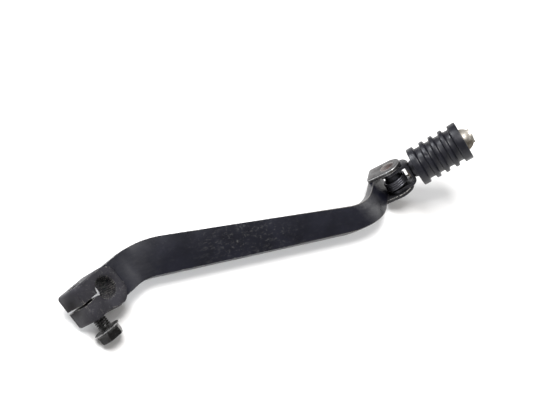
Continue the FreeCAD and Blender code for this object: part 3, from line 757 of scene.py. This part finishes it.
def dress(pieces):
    """Gives every shown piece its own material."""
    pivot = Vector(joint("peg_fold")["pos_m"])
    # places with their own wear or dirt, painted highlights or painted shade: the first three from the
    # peg's pivot, the others in the frame, whose X runs from the hub to the toe
    toe_bend = pivot + Vector((-23, -11, 1)) * MM
    highlit_edge = pivot + Vector((-31, -5, 4)) * MM
    bared_edge = pivot + Vector((-36, -6, 4)) * MM
    hub_bend = Vector((20, 4, 3)) * MM
    arm_middle = Vector((79, 0, 3)) * MM
    shaded_arm_end = Vector((172, 4, 0)) * MM
    jaw_ends = Vector((-14, -5, 1)) * MM
    peg_heights, _ = along_and_across("peg_stud", PEG_CENTRE, PEG_AXIS)
    crown = PEG_CENTRE + PEG_AXIS * peg_heights.max()
    # where the dome's painted highlight sits, on its side towards the lamps
    painted_highlight_at = crown - PEG_AXIS * 3 * MM + Vector((-1.3, 2.2, 3.6)) * MM
    finishes = {
        "hub_clamp": worn_paint(
            "worn_hub_paint", (0.0205, 0.0198, 0.0238), dust_amount=0.05, edge_radius=0.45 * MM,
            chip_amount=0.14, roughness=0.42, gloss=0.08, darkened_at=(jaw_ends, 6 * MM, 0.6)),
        "hub_weld_bead": worn_paint(
            "weld_paint", (0.006, 0.0057, 0.0065), dust_amount=0.02, edge_radius=0.3 * MM,
            chip_amount=0.0, roughness=0.46, gloss=0.24),
        "lever_arm": worn_paint(
            "arm_paint", (0.0040, 0.0043, 0.0086), dust_amount=0.06, edge_radius=0.90 * MM,
            chip_amount=0.04, roughness=0.32, gloss=0.30, dusty_at=(arm_middle, 30 * MM),
            # painted shade on the arm's end by the spring: the paint there is made darker and duller
            darkened_at=(shaded_arm_end, 9 * MM, 0.95), bared_at=(bared_edge, 42 * MM),
            # the toe bend is rubbed wear; the bend by the hub and the edge that faces up are painted highlights
            rubbed_and_highlit=[(toe_bend, 11 * MM, 0.45), (hub_bend, 13 * MM, 0.17),
                    (highlit_edge, 7 * MM, 0.9)]),
        "clevis_plate_upper": worn_steel(
            "plate_upper_steel", (0.105, 0.105, 0.107), (0.07, 0.060, 0.056),
            (0.03, 0.028, 0.028), stain_amount=0.04, roughness=0.36, edge_radius=0.6 * MM,
            dirt=0.3, polish=0.55),
        "clevis_plate_lower": worn_paint(
            "plate_lower_paint", (0.014, 0.014, 0.016), dust_amount=0.04, edge_radius=0.5 * MM,
            chip_amount=0.14, roughness=0.42),
        "pivot_rivet": worn_steel(
            "rivet_steel", (0.15, 0.13, 0.125), (0.12, 0.08, 0.072), (0.04, 0.028, 0.025),
            stain_amount=0.06, roughness=0.35),
        "pivot_bush": worn_steel(
            "bush_steel", (0.05, 0.05, 0.06), (0.03, 0.03, 0.035), (0.012, 0.012, 0.012),
            stain_amount=0.1, roughness=0.40),
        "torsion_spring": worn_steel(
            "spring_steel", (0.11, 0.11, 0.125), (0.05, 0.05, 0.06), (0.02, 0.02, 0.02),
            stain_amount=0.08, roughness=0.32, edge_radius=0.2 * MM, dirt=0.4),
        "peg_bracket": worn_steel(
            "bracket_steel", (0.050, 0.050, 0.058), (0.026, 0.026, 0.032), (0.012, 0.012, 0.014),
            stain_amount=0.08, roughness=0.36, edge_radius=0.4 * MM),
        "peg_collar": worn_steel(
            "collar_steel", (0.045, 0.045, 0.052), (0.024, 0.024, 0.028), (0.012, 0.012, 0.012),
            stain_amount=0.08, roughness=0.42),
        "pinch_bolt": worn_steel(
            "bolt_plating", (0.026, 0.026, 0.026), (0.015, 0.013, 0.013), (0.007, 0.007, 0.007),
            stain_amount=0.04, roughness=0.28, edge_radius=0.35 * MM, dirt=0.45, polish=0.42),
        "peg_stud": stained_dome("stud_steel", painted_highlight_at),
        "peg_rubber": old_rubber("peg_rubber_compound"),
    }
    for node, material in finishes.items():
        piece = pieces.get(node, frame["nodes"][node])
        piece.data.materials.clear()
        piece.data.materials.append(material)


# ---- studio ----

# direction from the middle of the part, distance, width and height, power and colour
LAMPS = {
    "window": ((-0.45, 0.70, 0.48), 0.85, (0.24, 0.15), 4.6, (0.93, 0.96, 1.0)),
    "ceiling": ((-0.22, 0.07, 1.0), 1.1, (0.50, 0.50), 14.0, (1.0, 0.995, 0.99)),
    "side": ((0.93, -0.08, 0.42), 0.95, (0.7, 0.45), 2.4, (1.0, 1.0, 1.0)),
}
TABLE_REACH = 6.0
TABLE_COLOUR = (0.87, 0.865, 0.86)
SURROUNDINGS_COLOUR = (1.0, 0.985, 0.965, 1)
SURROUNDINGS_STRENGTH = 0.41


def studio():
    """White table, a small window-like lamp behind on the left, a wider one nearly overhead, a weak
    one at the toe end, and an even light from all round."""
    floor_mesh = bpy.data.meshes.new("table")
    corners = [(-1, -1), (1, -1), (1, 1), (-1, 1)]
    floor_mesh.from_pydata([(x * TABLE_REACH, y * TABLE_REACH, cad_low.z) for x, y in corners],
                           [], [(0, 1, 2, 3)])
    floor = bpy.data.objects.new("table", floor_mesh)
    bpy.context.scene.collection.objects.link(floor)
    finish = Finish("table_white")
    floor_mesh.materials.append(finish.set(base_color=TABLE_COLOUR, roughness=0.7))

    centre = (cad_low + cad_high) / 2
    for name, (direction, distance, size, power, colour) in LAMPS.items():
        data = bpy.data.lights.new(name, "AREA")
        data.shape = "RECTANGLE"
        data.size, data.size_y = size
        data.energy = power
        data.color = colour
        lamp = bpy.data.objects.new(name, data)
        away = Vector(direction).normalized()
        lamp.location = centre + away * distance
        lamp.rotation_euler = away.to_track_quat("Z", "Y").to_euler()
        bpy.context.scene.collection.objects.link(lamp)

    world = bpy.data.worlds.new("surroundings")
    world.use_nodes = True
    background = world.node_tree.nodes["Background"]
    background.inputs["Color"].default_value = SURROUNDINGS_COLOUR
    background.inputs["Strength"].default_value = SURROUNDINGS_STRENGTH
    bpy.context.scene.world = world
    bpy.context.scene.view_settings.view_transform = "Standard"


def camera():
    """The camera that took the photo, as it was fitted to the part."""
    data = bpy.data.cameras.new("camera")
    data.lens = CAMERA_LENS
    data.clip_start = 0.01
    eye = bpy.data.objects.new("camera", data)
    look = (CAMERA_AIM - CAMERA_PLACE).to_track_quat("-Z", "Y").to_matrix().to_4x4()
    roll = Matrix.Rotation(CAMERA_ROLL, 4, "Z")
    eye.matrix_world = Matrix.Translation(CAMERA_PLACE) @ look @ roll
    bpy.context.scene.collection.objects.link(eye)
    bpy.context.scene.camera = eye


camera()
pieces = {node: softened(node, *edge) for node, edge in EDGE_WIDTHS.items()}
pieces["peg_rubber"] = peg_rubber()
pieces["peg_stud"] = peg_stud()
pieces["pivot_rivet"] = pivot_rivet()
pieces["pinch_bolt"] = pinch_bolt()
pieces["hub_weld_bead"] = weld_bead()
dress(pieces)
studio()
